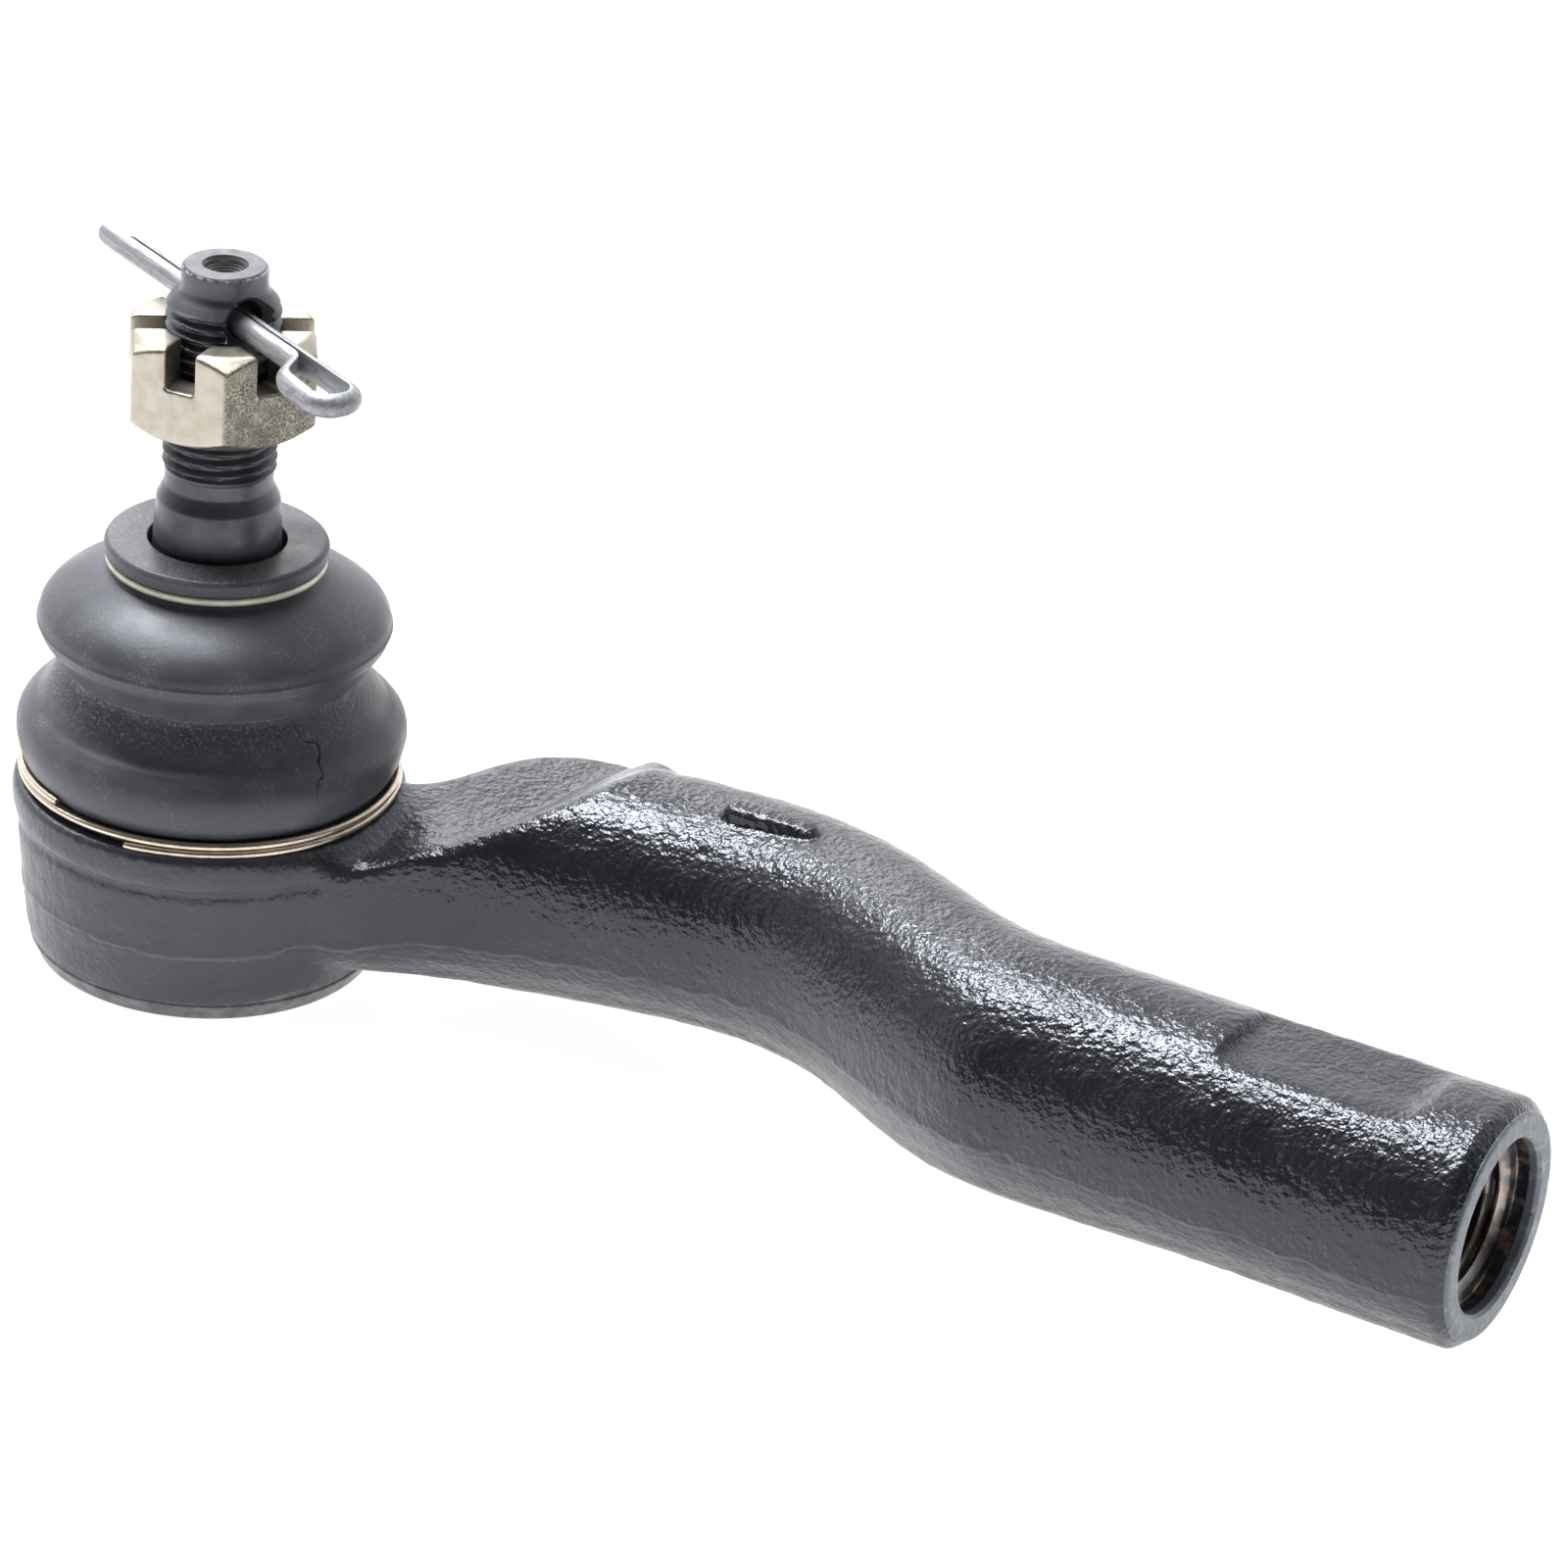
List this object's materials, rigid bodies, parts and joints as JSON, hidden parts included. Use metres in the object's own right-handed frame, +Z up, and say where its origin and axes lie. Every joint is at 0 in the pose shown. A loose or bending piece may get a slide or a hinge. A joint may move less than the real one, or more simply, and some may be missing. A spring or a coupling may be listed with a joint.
{
  "type": "tie rod end",
  "caption": "Outer tie rod end: forged, bowed arm with a threaded tube and a ball stud with dust boot, castle nut and split pin.",
  "frame": {"origin": "centre of the ball, where the stud's axis meets the axis of the housing's thread", "axes": "+Z up the ball stud towards its nut; +X along the thread bore, from the ball to the bore's mouth; the arm bows towards +Y"},
  "size_m": [0.1734, 0.0484, 0.0782],
  "materials": {
    "housing": "black paint over a bumpy forged skin, semi-gloss",
    "stud": "black oxide, satin",
    "seat": "moulded acetal",
    "spring": "oiled spring steel",
    "cover": "black paint on pressed steel",
    "boot": "satin moulded rubber",
    "top_ring": "pale yellow zinc",
    "clip": "brass-toned zinc on spring wire",
    "nut": "champagne zinc plate, mottled",
    "pin": "dull bright steel wire"
  },
  "bodies": {
    "housing": {"housing": "housing", "upper_seat": "seat", "lower_seat": "seat", "preload_spring": "spring", "end_cover": "cover", "boot_wire_ring": "clip"},
    "boot": {"dust_boot": "boot"},
    "boot_collar": {"boot_top_ring": "top_ring"},
    "stud": {"ball_stud": "stud", "castle_nut": "nut"},
    "cotter_pin": {"cotter_pin": "pin"}
  },
  "joints": [
    {"name": "lean_direction", "type": "hinge", "parent": "housing", "child": "boot", "pos_m": [0, 0, 0], "axis": [0, 0, 1], "continuous": true},
    {"name": "stud_lean", "type": "hinge", "parent": "boot", "child": "boot_collar", "pos_m": [0, 0, 0], "axis": [0, 1, 0], "range_deg": [-25, 25], "deforming": ["dust_boot"]},
    {"name": "stud_spin", "type": "hinge", "parent": "boot_collar", "child": "stud", "pos_m": [0, 0, 0], "axis": [0, 0, 1], "continuous": true},
    {"name": "cotter_pin_pull", "type": "slide", "parent": "stud", "child": "cotter_pin", "axis": [0.9203, -0.3906, -0.0209], "range_m": [0, 0.046]}
  ]
}
